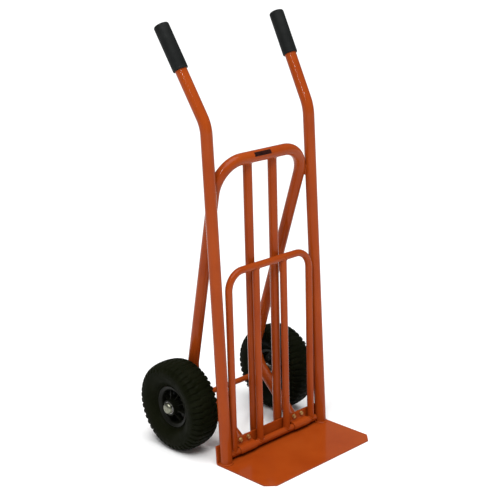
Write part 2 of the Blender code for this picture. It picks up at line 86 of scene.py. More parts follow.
EXT_R = 0.010
EXT_OUTER_X = 0.1516
EXT_INNER_X = 0.0517
EXT_TOP_Y = 0.0020
EXT_TOP_Z = 0.5313
EXT_CORNER_R = 0.050
PIVOT_Z = 0.0209
PIVOT_HALF_LENGTH = 0.1675

STRAP_X = 0.105
STRAP_W = 0.060
STRAP_T = 0.003
STRAP_TOP_Z = 0.0535
BOLT_Z = 0.0478
BOLT_SPACING = 0.030

# Clearances: between neighbouring solids, and where a trimmed end meets its neighbour
GAP = 0.0003
FIT = 0.0001

AXLE_Y = 0.182
AXLE_R = 0.008
AXLE_BORE_R = AXLE_R + 0.0002
WHEEL_R = 0.1275
WHEEL_X = 0.191
HUB_HALF_W = 0.038
BEARING_R = 0.0175
BEARING_W = 0.011
WASHER_T = 0.0016
RIM_BOLT_R = 0.033
BOLT_FLATS = 0.010
BOLT_SHANK_R = 0.0029
NUT_BORE_R = 0.0031
THREAD_PITCH = 0.0009
LABEL_X = (-0.042, 0.017)
LABEL_ELEVATION = (radians(8), radians(50))

SIDES = ((-1, "left"), (1, "right"))

# Unit vectors square to the leaning upstand and up along it
BACKWARD = Vector((0, cos(LEAN), -sin(LEAN)))
UPWARD = Vector((0, sin(LEAN), cos(LEAN)))
UPSTAND_FRONT = TUBE_R + GAP
UPSTAND_BACK = UPSTAND_FRONT + PLATE_T
PIVOT_DEPTH = UPSTAND_FRONT - GAP - EXT_R
PIVOT_Y = (PIVOT_DEPTH + PIVOT_Z * sin(LEAN)) / cos(LEAN)

# Fineness of the visual meshes
ROUND = 48
THIN_ROUND = 40
RIM_ROUND = 96
BEND_STEPS = 22
TREAD_PITCHES = 44
STEPS_PER_PITCH = 8

# ---- camera

CAMERA_AZIMUTH = radians(-43.297)
CAMERA_ELEVATION = radians(16.025)
CAMERA_ROLL = radians(-2.003)
CAMERA_TARGET = Vector((-0.0723, 0.0, 0.5797))
CAMERA_DISTANCE = 3.0681
CAMERA_LENS = 84.0
CAMERA_SENSOR = 36.0


# ---- finishes

# Each finish's material by name, and the name of the frame's finish
FINISH = {}
PAINT = "orange_powder_coat"


class Finish:
    """A node material with short calls for its texture chains."""

    def __init__(self, name, colour, roughness, metallic=0.0, specular=0.5):
        self.material = bpy.data.materials.new(name)
        self.material.use_nodes = True
        self.tree = self.material.node_tree
        self.shader = self.tree.nodes["Principled BSDF"]
        self.set("Base Color", (*colour, 1))
        self.set("Roughness", roughness)
        self.set("Metallic", metallic)
        self.set("Specular IOR Level", specular)
        self.coords = self.tree.nodes.new("ShaderNodeTexCoord").outputs["Object"]
        FINISH[name] = self.material

    def set(self, socket, value):
        self.shader.inputs[socket].default_value = value

    def node(self, kind, **settings):
        made = self.tree.nodes.new(kind)
        for key, value in settings.items():
            setattr(made, key, value)
        return made

    def link(self, source, target):
        self.tree.links.new(source, target)

    def noise(self, scale, detail=2.0, roughness=0.5):
        made = self.node("ShaderNodeTexNoise")
        made.inputs["Scale"].default_value = scale
        made.inputs["Detail"].default_value = detail
        made.inputs["Roughness"].default_value = roughness
        self.link(self.coords, made.inputs["Vector"])
        return made.outputs["Fac"]

    def cells(self, scale):
        made = self.node("ShaderNodeTexVoronoi")
        made.inputs["Scale"].default_value = scale
        self.link(self.coords, made.inputs["Vector"])
        return made.outputs["Distance"]

    def spread(self, source, low_in, high_in, low_out, high_out):
        made = self.node("ShaderNodeMapRange", clamp=True)
        limits = {"From Min": low_in, "From Max": high_in, "To Min": low_out, "To Max": high_out}
        for key, value in limits.items():
            made.inputs[key].default_value = value
        self.link(source, made.inputs["Value"])
        return made.outputs["Result"]

    def blend(self, share, first, second):
        made = self.node("ShaderNodeMix", data_type="RGBA")
        self.link(share, made.inputs["Factor"])
        for socket, value in (("A", first), ("B", second)):
            target = [s for s in made.inputs if s.name == socket and s.type == "RGBA"][0]
            target.default_value = (*value, 1)
        return [s for s in made.outputs if s.type == "RGBA"][0]

    def mottle(self, source, low, high, first, second):
        """Colour the surface from one tone to another as the source goes from low to high."""
        share = self.spread(source, low, high, 0.0, 1.0)
        self.link(self.blend(share, first, second), self.shader.inputs["Base Color"])

    def bump(self, height, strength, distance, onto=None):
        made = self.node("ShaderNodeBump")
        made.inputs["Strength"].default_value = strength
        made.inputs["Distance"].default_value = distance
        self.link(height, made.inputs["Height"])
        if onto is not None:
            self.link(onto, made.inputs["Normal"])
        return made.outputs["Normal"]

    def rough(self, source):
        self.link(source, self.shader.inputs["Roughness"])

    def normal(self, source):
        self.link(source, self.shader.inputs["Normal"])


def powder_coat():
    """Glossy orange powder coat: orange peel, faint tone drift and a thin clear skin."""
    f = Finish(PAINT, (0.30, 0.047, 0.0055), 0.20, specular=0.05)
    f.set("Coat Weight", 0.55)
    f.set("Coat Roughness", 0.05)
    f.set("Coat IOR", 1.22)
    f.mottle(f.noise(7.0, 3.0), 0.35, 0.65, (0.262, 0.038, 0.0040), (0.305, 0.050, 0.0060))
    f.rough(f.spread(f.noise(45.0, 4.0), 0.3, 0.7, 0.10, 0.19))
    peel = f.bump(f.noise(420.0, 1.5), 0.24, 0.0008)
    f.normal(f.bump(f.noise(95.0, 1.0), 0.05, 0.0015, onto=peel))


def tyre_rubber():
    """Matt tyre rubber, a little dusty, with a fine grain."""
    f = Finish("tyre_rubber", (0.0055, 0.006, 0.003), 0.50, specular=0.02)
    f.mottle(f.noise(22.0, 6.0, 0.65), 0.42, 0.75, (0.0040, 0.0048, 0.0016),
             (0.0068, 0.0076, 0.0034))
    f.rough(f.spread(f.noise(60.0, 3.0), 0.3, 0.7, 0.42, 0.60))
    grain = f.bump(f.noise(900.0, 2.0), 0.18, 0.0004)
    f.normal(f.bump(f.noise(130.0, 3.0), 0.10, 0.0012, onto=grain))


def grip_rubber():
    """Soft handle rubber with a pebbled skin."""
    f = Finish("grip_rubber", (0.006, 0.007, 0.007), 0.60, specular=0.12)
    f.mottle(f.noise(30.0, 4.0), 0.4, 0.7, (0.0052, 0.0060, 0.0058), (0.0085, 0.0095, 0.0092))
    f.rough(f.spread(f.noise(120.0, 3.0), 0.3, 0.7, 0.52, 0.70))
    pebbles = f.bump(f.cells(620.0), 0.45, 0.0007)
    f.normal(f.bump(f.noise(60.0, 2.0), 0.05, 0.001, onto=pebbles))


def moulded_plastic():
    """Black moulded plastic of the wheel rims, with a faint spark-eroded grain."""
    f = Finish("black_plastic", (0.005, 0.0055, 0.003), 0.36, specular=0.09)
    f.mottle(f.noise(35.0, 3.0), 0.4, 0.7, (0.0040, 0.0044, 0.0024), (0.0064, 0.0068, 0.0042))
    f.rough(f.spread(f.noise(70.0, 4.0), 0.3, 0.7, 0.28, 0.42))
    f.normal(f.bump(f.noise(700.0, 2.0), 0.15, 0.0004))


def zinc_plate():
    """Zinc plate of the hub caps and washers: a faint yellow cast and a fine mottle."""
    f = Finish("zinc", (0.30, 0.31, 0.25), 0.30, metallic=1.0)
    f.mottle(f.noise(160.0, 4.0, 0.6), 0.35, 0.68, (0.17, 0.18, 0.14), (0.23, 0.225, 0.172))
    f.rough(f.spread(f.cells(500.0), 0.0, 0.8, 0.20, 0.36))
    f.normal(f.bump(f.noise(1200.0, 2.0), 0.10, 0.0002))


def yellow_zinc():
    """Yellow-chromated zinc of the hinge's bolts and nuts, with a patchy tint."""
    f = Finish("yellow_zinc", (0.50, 0.33, 0.11), 0.34, metallic=1.0)
    f.mottle(f.noise(220.0, 4.0, 0.6), 0.35, 0.68, (0.60, 0.44, 0.19), (0.40, 0.22, 0.06))
    f.rough(f.spread(f.cells(600.0), 0.0, 0.8, 0.24, 0.42))
    f.normal(f.bump(f.noise(1200.0, 2.0), 0.10, 0.0002))


def ground_steel():
    """Bearing rings: ground steel with a slightly uneven tone."""
    f = Finish("bearing_steel", (0.46, 0.46, 0.45), 0.30, metallic=1.0)
    f.rough(f.spread(f.noise(300.0, 3.0), 0.3, 0.7, 0.22, 0.40))
    f.mottle(f.noise(90.0, 3.0), 0.35, 0.7, (0.50, 0.50, 0.49), (0.40, 0.39, 0.37))
    f.normal(f.bump(f.noise(1500.0, 1.0), 0.08, 0.0002))


def blacked_steel():
    """Black-oxide rim screws: dark, faintly oily steel."""
    f = Finish("blacked_steel", (0.010, 0.010, 0.009), 0.40, specular=0.25)
    f.mottle(f.noise(140.0, 3.0), 0.35, 0.7, (0.007, 0.007, 0.006), (0.014, 0.013, 0.011))
    f.rough(f.spread(f.cells(420.0), 0.0, 0.8, 0.30, 0.50))
    f.normal(f.bump(f.noise(1100.0, 2.0), 0.10, 0.0002))


def label_film():
    """Blank dark label: a glossy film with a faint redder wash in patches."""
    f = Finish("label_brown", (0.016, 0.004, 0.003), 0.30, specular=0.08)
    f.mottle(f.noise(60.0, 3.0), 0.35, 0.7, (0.012, 0.0035, 0.0028), (0.034, 0.007, 0.005))
    f.rough(f.spread(f.noise(200.0, 2.0), 0.3, 0.7, 0.24, 0.38))
    f.normal(f.bump(f.noise(260.0, 2.0), 0.06, 0.0004))


def floor_paint():
    """Plain pale studio floor."""
    f = Finish("pale_floor", (0.93, 0.93, 0.93), 0.65, specular=0.15)
    f.mottle(f.noise(1.5, 2.0), 0.3, 0.7, (0.925, 0.925, 0.925), (0.94, 0.94, 0.94))


# ---- mesh helpers

def skin(rings, closed):
    """Join equal rings of points into a mesh; open rows get flat ends."""
    bm = bmesh.new()
    rows = [[bm.verts.new(p) for p in ring] for ring in rings]
    count = len(rows[0])
    pairs = list(zip(rows, rows[1:])) + ([(rows[-1], rows[0])] if closed else [])
    for a, b in pairs:
        for i in range(count):
            j = (i + 1) % count
            bm.faces.new((a[i], a[j], b[j], b[i]))
    if not closed:
        bm.faces.new(rows[0])
        bm.faces.new(rows[-1])
    return bm


def merge(bodies):
    """Several bmeshes in one, which uses them up."""
    whole = bmesh.new()
    for body in bodies:
        bmesh.ops.recalc_face_normals(body, faces=body.faces)
        mesh = bpy.data.meshes.new("part")
        body.to_mesh(mesh)
        body.free()
        whole.from_mesh(mesh)
        bpy.data.meshes.remove(mesh)
    return whole


def piece(name, bm, finish, body, stands_for=(), crease=38):
    """Link a mesh as one visual piece that rides on a body and stands for its CAD nodes."""
    bmesh.ops.recalc_face_normals(bm, faces=bm.faces)
    mesh = bpy.data.meshes.new(name)
    bm.to_mesh(mesh)
    bm.free()
    mesh.shade_smooth()
    mesh.set_sharp_from_angle(angle=radians(crease))
    mesh.materials.append(FINISH[finish])
    obj = bpy.data.objects.new(name, mesh)
    bpy.context.scene.collection.objects.link(obj)
    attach(obj, body)
    if stands_for:
        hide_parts(*stands_for)
    return obj


def soften(obj, width, segments=3, angle=35):
    """Round off a piece's sharp edges."""
    bevel = obj.modifiers.new("soften", "BEVEL")
    bevel.width = width
    bevel.segments = segments
    bevel.limit_method = "ANGLE"
    bevel.angle_limit = radians(angle)
    bevel.harden_normals = True


def circle(centre, axis, radius, count, reference=(1, 0, 0)):
    axis = Vector(axis).normalized()
    side = Vector(reference)
    side = (side - axis * side.dot(axis)).normalized()
    other = axis.cross(side)
    centre = Vector(centre)
    return [centre + radius * (cos(a) * side + sin(a) * other)
            for a in (2 * pi * i / count for i in range(count))]


def rounded_path(points, radii):
    """Replace the inner corners of a polyline with finely stepped arcs."""
    path = [Vector(points[0])]
    for before, corner, after, radius in zip(points, points[1:], points[2:], radii):
        corner = Vector(corner)
        d_in = (corner - Vector(before)).normalized()
        d_out = (Vector(after) - corner).normalized()
        turn = d_in.angle(d_out)
        centre = corner + (d_out - d_in).normalized() * (radius / cos(turn / 2))
        first = corner - d_in * (radius * tan(turn / 2)) - centre
        spin_axis = d_in.cross(d_out).normalized()
        for k in range(BEND_STEPS + 1):
            path.append(centre + Matrix.Rotation(turn * k / BEND_STEPS, 3, spin_axis) @ first)
    path.append(Vector(points[-1]))
    return path


def path_rings(path, radius, count):
    """Rings square to a path, carried along it without twist; radius may be a list."""
    rings = []
    start = (path[1] - path[0]).normalized()
    reference = Vector((1, 0, 0)) if abs(start.x) < 0.9 else Vector((0, 1, 0))
    for i, point in enumerate(path):
        before = path[max(i - 1, 0)]
        after = path[min(i + 1, len(path) - 1)]
        axis = (after - before).normalized()
        reference = (reference - axis * reference.dot(axis)).normalized()
        r = radius[i] if isinstance(radius, list) else radius
        rings.append(circle(point, axis, r, count, reference))
    return rings


def loop_rings(path, radii, count):
    """Rings along a closed path, each with its first point turned away from the path's middle."""
    rings = []
    total = len(path)
    centre = sum(path, Vector()) / total
    for i, point in enumerate(path):
        axis = (path[(i + 1) % total] - path[i - 1]).normalized()
        rings.append(circle(point, axis, radii[i], count, point - centre))
    return rings


def to_plane(ring, direction, plane_point, plane_normal):
    """Slide a ring's points along a direction until they lie on a plane."""
    direction = Vector(direction)
    normal = Vector(plane_normal)
    return [p + direction * ((Vector(plane_point) - p).dot(normal) / direction.dot(normal))
            for p in ring]


def tube(path, radius, wall, trim_start=None, trim_end=None, count=ROUND):
    """An open-ended hollow tube whose end rings may be trimmed to a neighbour."""
    outer = path_rings(path, radius, count)
    inner = path_rings(path, radius - wall, count)
    for rings in (outer, inner):
        if trim_start:
            rings[0] = trim_start(rings[0])
        if trim_end:
            rings[-1] = trim_end(rings[-1])
    return skin(outer + inner[::-1], closed=True)


def saddle(y, z, radius, above):
    """A trim that copes a tube's end onto a tube that runs along X."""
    def trim(ring):
        shaped = []
        for p in ring:
            rise = sqrt(max(radius ** 2 - (p.y - y) ** 2, (0.2 * radius) ** 2))
            shaped.append(Vector((p.x, p.y, z + rise if above else z - rise)))
        return shaped
    return trim


def turned(profile, x_centre, side, y, z, count=ROUND, closed=True):
    """Turn a profile of (u, r) about an X axis; u points away from the truck on either side."""
    rings = [circle((x_centre + side * u, y, z), (side, 0, 0), r, count, (0, 0, 1))
             for u, r in profile]
    return skin(rings, closed)


def on_wheel_axis(profile, side, count=ROUND, closed=True):
    """Turn a profile about a wheel's axis, its u counted from the wheel's middle."""
    return turned(profile, side * WHEEL_X, side, AXLE_Y, WHEEL_R, count, closed)


def turned_along(start, direction, profile, count=ROUND):
    """Turn a profile of (distance, r) about any axis, with flat ends."""
    rings = [circle(start + direction * s, direction, r, count) for s, r in profile]
    return skin(rings, closed=False)


def smooth_profile(points, steps):
    """Catmull-Rom curve through the points of a profile."""
    dense = []
    last = len(points) - 1
    for i in range(last):
        p0, p1, p2, p3 = (points[max(i - 1, 0)], points[i], points[i + 1], points[min(i + 2, last)])
        for k in range(steps):
            t = k / steps
            dense.append(tuple(0.5 * (2 * b + (c - a) * t + (2 * a - 5 * b + 4 * c - d) * t * t
                                      + (3 * b - a - 3 * c + d) * t ** 3)
                               for a, b, c, d in zip(p0, p1, p2, p3)))
    dense.append(tuple(points[last]))
    return dense


def ease(value, low, high):
    """0 below low, 1 above high, smooth between."""
    t = min(max((value - low) / (high - low), 0.0), 1.0)
    return t * t * (3 - 2 * t)


# ---- weld beads

BEAD_R = 0.0026
RIPPLE = 0.0027
BEAD_SIDES = 8
SEAM_STEPS = 40
BAR_BEAD_R = 0.0022
SIDE_BEAD_R = 0.0024
EXT_BEAD_R = 0.0018

# Heights of the welds between a hoop leg and its upright
LEG_WELD_Z = (0.736, 0.751, 0.766)
# The lowest middle of a bead, which keeps the bead off the floor
LOWEST_BEAD_Z = 0.0032


def bead(points, radius=BEAD_R, closed=True):
    """A weld bead along a seam: a rippled cord, as the pool froze step by step."""
    path = [Vector(p) for p in points]
    if closed:
        path.append(path[0])
    dense = [path[0]]
    travelled = [0.0]
    for a, b in zip(path, path[1:]):
        steps = max(1, int((b - a).length / (RIPPLE / 4)))
        for k in range(1, steps + 1):
            dense.append(a.lerp(b, k / steps))
            travelled.append(travelled[-1] + (b - a).length / steps)
    if closed:
        dense.pop()
    radii = [radius * (0.88 + 0.16 * abs(cos(pi * s / RIPPLE)) + 0.05 * sin(s * 410.0))
             for s in travelled[:len(dense)]]
    if closed:
        return skin(loop_rings(dense, radii, BEAD_SIDES), closed=True)
    radii[0] = radii[-1] = radius * 0.3
    radii[1] = radii[-2] = radius * 0.7
    return skin(path_rings(dense, radii, BEAD_SIDES), closed=False)


def saddle_seam(x, y, r, tube_y, tube_z, tube_r, above):
    """The seam where an upright tube of radius r meets a tube along X."""
    seam = []
    for i in range(SEAM_STEPS):
        a = 2 * pi * i / SEAM_STEPS
        py = y + r * sin(a)
        rise = sqrt(max(tube_r ** 2 - (py - tube_y) ** 2, (0.25 * tube_r) ** 2))
        seam.append((x + r * cos(a), py, tube_z + rise if above else tube_z - rise))
    return seam


def at_depth(depth, z):
    """The (y, z) point at a height whose distance along BACKWARD is given."""
    return ((depth + z * sin(LEAN)) / cos(LEAN), z)


# ---- painted frame

def make_uprights():
    for side, word in SIDES:
        corner = Vector((side * UPRIGHT_X, tan(LEAN) * HANDLE_BEND_Z, HANDLE_BEND_Z))
        direction = handle_direction(side)
        foot = Vector((side * UPRIGHT_X, 0, 0)) + UPWARD * ((PLATE_T + GAP) / UPWARD.z)
        end = corner + direction * (HANDLE_LENGTH - GRIP_END_T)
        path = rounded_path([foot, corner, end], [HANDLE_BEND_R])
        body = tube(path, TUBE_R, TUBE_WALL, trim_start=onto_plate)
        piece(word + "_upright_tube", body, PAINT, "frame", [word + "_upright"])


def onto_plate(ring):
    """A trim that ends an upright just above the toe plate's upper face."""
    return to_plane(ring, UPWARD, (0, 0, PLATE_T + GAP), (0, 0, 1))


def handle_direction(side):
    """Which way a handle points from its bend: up, back and outward."""
    return Vector((side * sin(HANDLE_FLARE), cos(HANDLE_FLARE) * sin(HANDLE_BACK),
                   cos(HANDLE_FLARE) * cos(HANDLE_BACK)))


def make_grips():
    """Closed rubber sleeves with a rolled mouth and a rounded end."""
    for side, word in SIDES:
        corner = Vector((side * UPRIGHT_X, tan(LEAN) * HANDLE_BEND_Z, HANDLE_BEND_Z))
        tip = HANDLE_LENGTH
        mouth = tip - GRIP_LENGTH
        bore = TUBE_R + 0.0002
        profile = [(tip - 0.004, bore * 0.5), (tip - 0.004, bore), (mouth, bore),
                   (mouth - 0.0002, bore + 0.0012), (mouth, GRIP_R - 0.0010),
                   (mouth + 0.0010, GRIP_R - 0.0001), (mouth + 0.004, GRIP_R),
                   (mouth + 0.0052, GRIP_R - 0.0004), (mouth + 0.0064, GRIP_R),
                   (tip - 0.030, GRIP_R), (tip - 0.006, GRIP_R), (tip - 0.0035, GRIP_R - 0.0006),
                   (tip - 0.0016, GRIP_R - 0.0020), (tip - 0.0005, GRIP_R - 0.0042),
                   (tip, GRIP_R - 0.0075), (tip, 0.004)]
        body = turned_along(corner, handle_direction(side), profile)
        piece(word + "_grip_sleeve", body, "grip_rubber", "frame", [word + "_grip"],
              crease=50)


def make_hoop():
    """One tube: strut, leg, crossbar, leg and strut, ending on the upstand's back."""
    right_side = [HOOP_TOP, HOOP_KINK, HOOP_FOOT]
    left_side = [Vector((-p.x, p.y, p.z)) for p in right_side[::-1]]
    path = rounded_path(left_side + right_side,
                        [HOOP_KINK_R, HOOP_CORNER_R, HOOP_CORNER_R, HOOP_KINK_R])
    plane_point = BACKWARD * (UPSTAND_BACK + FIT)

    def trim_foot(side):
        direction = (HOOP_FOOT - HOOP_KINK).normalized()
        direction.x *= side
        return lambda ring: to_plane(ring, direction, plane_point, BACKWARD)

    body = tube(path, TUBE_R, TUBE_WALL, trim_foot(-1), trim_foot(1))
    piece("hoop_tube", body, PAINT, "frame", ["hoop_frame"])


def bar_y(z):
    """Y of the inner bars' centre line, from the upstand's back to under the crossbar."""
    guide_y = at_depth(UPSTAND_BACK + GAP + BAR_R, UPSTAND_TOP)[0] + GAP
    slope = (BAR_TOP_Y - guide_y) / (HOOP_TOP.z - UPSTAND_TOP)
    return guide_y + slope * (z - UPSTAND_TOP)


def make_inner_bars():
    for side, word in SIDES:
        foot = Vector((side * BAR_X, bar_y(BAR_FOOT_Z), BAR_FOOT_Z))
        top = Vector((side * BAR_X, BAR_TOP_Y, HOOP_TOP.z))
        body = tube([foot, foot.lerp(top, 0.5), top], BAR_R, THIN_WALL,
                    trim_end=saddle(HOOP_TOP.y, HOOP_TOP.z, TUBE_R + FIT, above=False))
        piece(word + "_inner_bar_tube", body, PAINT, "frame",
              [word + "_inner_bar"])


def plate_half_width(y):
    """The toe plate narrows over its cut front corners, which are slightly rounded."""
    into = y - PLATE_FRONT_Y
    straight = min(into / CORNER_CUT, 1.0)
    half = PLATE_W / 2 - CORNER_CUT * (1 - straight)
    softened = 0.010
    start = CORNER_CUT - softened / 2
    if start < into < CORNER_CUT + softened / 2:
        t = (into - start) / softened
        half -= softened * (1 - t) * (1 - t) / 8
    return half


def make_toe_plate():
    """One bent sheet as a grid that follows its section, with softened edges."""
    cut_steps = 14
    fine_steps = cut_steps + 4
    bend_steps = 12
    strips = 24
    stations = [PLATE_FRONT_Y + CORNER_CUT * k / cut_steps for k in range(fine_steps + 1)]
    stations += [PLATE_FRONT_Y + CORNER_CUT * fine_steps / cut_steps + 0.026 * k
                 for k in range(1, 6)]
    lower = [(y, 0.0, plate_half_width(y)) for y in stations]
    upper = [(y, PLATE_T, plate_half_width(y)) for y in stations]
    centre_y, centre_z = at_depth(UPSTAND_FRONT - PLATE_BEND_R, PLATE_T + PLATE_BEND_R)
    outer_r = PLATE_BEND_R + PLATE_T
    for k in range(bend_steps + 1):
        a = (pi / 2 - LEAN) * k / bend_steps
        for rows, r in ((lower, outer_r), (upper, PLATE_BEND_R)):
            rows.append((centre_y + r * sin(a), centre_z - r * cos(a), PLATE_W / 2))
    for z in (0.025, 0.040, UPSTAND_TOP):
        lower.append((*at_depth(UPSTAND_BACK, z), PLATE_W / 2))
        upper.append((*at_depth(UPSTAND_FRONT, z), PLATE_W / 2))
    columns = [-1 + k / (strips / 2) for k in range(strips + 1)]
    bm = bmesh.new()
    low = [[bm.verts.new((c * h, y, z)) for c in columns] for y, z, h in lower]
    top = [[bm.verts.new((c * h, y, z)) for c in columns] for y, z, h in upper]
    for i in range(len(low) - 1):
        for j in range(len(columns) - 1):
            bm.faces.new((low[i][j], low[i][j + 1], low[i + 1][j + 1], low[i + 1][j]))
            bm.faces.new((top[i][j], top[i + 1][j], top[i + 1][j + 1], top[i][j + 1]))
        for j in (0, -1):
            bm.faces.new((low[i][j], low[i + 1][j], top[i + 1][j], top[i][j]))
    for i in (0, -1):
        for j in range(len(columns) - 1):
            bm.faces.new((low[i][j], low[i][j + 1], top[i][j + 1], top[i][j]))
    obj = piece("toe_plate_sheet", bm, PAINT, "frame", ["toe_plate"])
    soften(obj, 0.0009, segments=3, angle=50)


def make_axle():
    """The rod with chamfered ends and a collar inside each wheel."""
    half = WHEEL_X + HUB_HALF_W + 0.0075
    collar_out = WHEEL_X - HUB_HALF_W - WASHER_T - 2 * GAP
    profile = [(-half, 0.0062), (-half + 0.0012, AXLE_R), (-collar_out, AXLE_R),
               (-collar_out, 0.0114), (-collar_out + 0.0006, 0.012), (-collar_out + 0.0044, 0.012),
               (-collar_out + 0.005, 0.0114), (-collar_out + 0.005, AXLE_R), (0.0, AXLE_R)]
    profile += [(-u, r) for u, r in profile[-2::-1]]
    body = turned(profile, 0, 1, AXLE_Y, WHEEL_R, closed=False)
    piece("axle_rod", body, PAINT, "frame", ["axle"])


def make_label():
    """Blank dark label: a thin strip wrapped on the crossbar, with rounded edges."""
    low, high = LABEL_ELEVATION
    inner = TUBE_R + 0.00005
    outer = TUBE_R + 0.00075

    def strip(radius, a0, a1, steps):
        return [(HOOP_TOP.y - radius * cos(a0 + (a1 - a0) * k / steps),
                 HOOP_TOP.z + radius * sin(a0 + (a1 - a0) * k / steps)) for k in range(steps + 1)]

    outline = strip(inner, low, high, 14) + strip(outer, low, high, 14)[::-1]
    rings = [[Vector((x, y, z)) for y, z in outline] for x in LABEL_X]
    obj = piece("crossbar_label", skin(rings, closed=False), "label_brown", "frame",
                ["label_plate"])
    soften(obj, 0.00025, segments=2, angle=60)


def make_frame_welds():
    """All the frame's beads: at the uprights, the inner bars, the hoop and the axle."""
    seams = []
    for side in (-1, 1):
        foot = circle((side * UPRIGHT_X, 0.0002, PLATE_T + 0.0008), (0, 0, 1), TUBE_R + 0.0008,
                      ROUND)
        seams.append(bead(foot))
        for edge in (-1, 1):
            x = side * UPRIGHT_X + edge * 0.0058
            run = [Vector((x, *at_depth(UPSTAND_FRONT - 0.0008, z)))
                   for z in (0.009, 0.030, 0.052)]
            seams.append(bead(run, 0.0017, closed=False))
            x = side * BAR_X + edge * 0.0056
            run = [Vector((x, *at_depth(UPSTAND_BACK + 0.0012, z))) for z in (0.014, 0.033, 0.052)]
            seams.append(bead(run, 0.0019, closed=False))
            seams.append(bead(side_seam(side, edge), SIDE_BEAD_R, closed=False))
        bar_top = saddle_seam(side * BAR_X, BAR_TOP_Y, BAR_R + 0.0004,
                              HOOP_TOP.y, HOOP_TOP.z, TUBE_R + 0.0004, above=False)
        seams.append(bead(bar_top, BAR_BEAD_R))
        seams.append(bead(strut_foot_seam(side)))
        for edge in (-1, 1):
            seams.append(bead(axle_seam(side, edge), SIDE_BEAD_R, closed=False))
    piece("frame_weld_beads", merge(seams), PAINT, "frame", crease=60)


def leg_point(side, z):
    """The centre line of a hoop leg at a height on its straight run."""
    share = (z - HOOP_KINK.z) / (HOOP_TOP.z - HOOP_KINK.z)
    p = HOOP_KINK.lerp(HOOP_TOP, share)
    return Vector((side * p.x, p.y, p.z))


def side_seam(side, edge):
    """Bead where a leg passes beside an upright, on its front or its back."""
    run = []
    for z in LEG_WELD_Z:
        leg = leg_point(side, z)
        upright = Vector((side * UPRIGHT_X, tan(LEAN) * z, z))
        middle = (leg + upright) / 2
        across = upright - leg
        across.z = 0
        normal = Vector((-across.y, across.x, 0)).normalized()
        if normal.y < 0:
            normal = -normal
        run.append(middle + normal * (edge * 0.0052))
    return run


def strut_foot_seam(side):
    """The ellipse where a strut meets the upstand's back face, flattened clear of the floor."""
    direction = (HOOP_FOOT - HOOP_KINK).normalized()
    direction.x *= side
    centre = Vector((side * HOOP_FOOT.x, HOOP_FOOT.y, HOOP_FOOT.z))
    ring = circle(centre, direction, TUBE_R + 0.0008, ROUND)
    seam = to_plane(ring, direction, BACKWARD * (UPSTAND_BACK + 0.0008), BACKWARD)
    return [Vector((p.x, p.y, max(p.z, LOWEST_BEAD_Z))) for p in seam]


def axle_seam(side, edge):
    """Short bead along the axle where it passes under a strut."""
    direction = (HOOP_KINK - HOOP_FOOT).normalized()
    share = (AXLE_Y - HOOP_FOOT.y) / (HOOP_KINK.y - HOOP_FOOT.y)
    x = HOOP_FOOT.x + (HOOP_KINK.x - HOOP_FOOT.x) * share
    up = Vector((0, -direction.z, direction.y)).normalized()
    along = Vector((0, up.z, -up.y))
    middle = Vector((side * x, AXLE_Y, WHEEL_R))
    base = middle + up * (AXLE_R * 0.82) + along * (edge * AXLE_R * 0.62)
    return [base + Vector((dx, 0, 0)) for dx in (-0.012, -0.004, 0.004, 0.012)]


# ---- toe extension

def make_extension():
    """The folding part's hoop, two bars, pivot tube and their weld beads."""
    onto_pivot = saddle(PIVOT_Y, PIVOT_Z, EXT_R + FIT, above=True)
    under_end_bar = saddle(EXT_TOP_Y, EXT_TOP_Z, EXT_R + FIT, above=False)
    points = [Vector((-EXT_OUTER_X, PIVOT_Y, PIVOT_Z)),
              Vector((-EXT_OUTER_X, EXT_TOP_Y, EXT_TOP_Z)),
              Vector((EXT_OUTER_X, EXT_TOP_Y, EXT_TOP_Z)),
              Vector((EXT_OUTER_X, PIVOT_Y, PIVOT_Z))]
    path = rounded_path(points, [EXT_CORNER_R] * 2)
    hoop = tube(path, EXT_R, THIN_WALL, onto_pivot, onto_pivot, THIN_ROUND)
    piece("extension_hoop_tube", hoop, PAINT, "extension", ["extension_hoop"])
    for side, word in SIDES:
        foot = Vector((side * EXT_INNER_X, PIVOT_Y, PIVOT_Z))
        top = Vector((side * EXT_INNER_X, EXT_TOP_Y, EXT_TOP_Z))
        body = tube([foot, foot.lerp(top, 0.5), top], EXT_R, THIN_WALL, onto_pivot, under_end_bar,
                    THIN_ROUND)
        piece(f"extension_{word}_bar_tube", body, PAINT, "extension",
              [f"extension_{word}_bar"])
    ends = [Vector((x, PIVOT_Y, PIVOT_Z)) for x in (-PIVOT_HALF_LENGTH, 0, PIVOT_HALF_LENGTH)]
    piece("pivot_tube", tube(ends, EXT_R, THIN_WALL, count=THIN_ROUND), PAINT,
          "extension", ["extension_pivot_tube"])
    seams = []
    r = EXT_R + 0.0002
    for side in (-1, 1):
        for x in (EXT_INNER_X, EXT_OUTER_X):
            foot = saddle_seam(side * x, PIVOT_Y, r, PIVOT_Y, PIVOT_Z, r, above=True)
            seams.append(bead(foot, EXT_BEAD_R))
        top = saddle_seam(side * EXT_INNER_X, EXT_TOP_Y, r, EXT_TOP_Y, EXT_TOP_Z, r, above=False)
        seams.append(bead(top, EXT_BEAD_R))
    piece("extension_weld_beads", merge(seams), PAINT, "extension", crease=60)


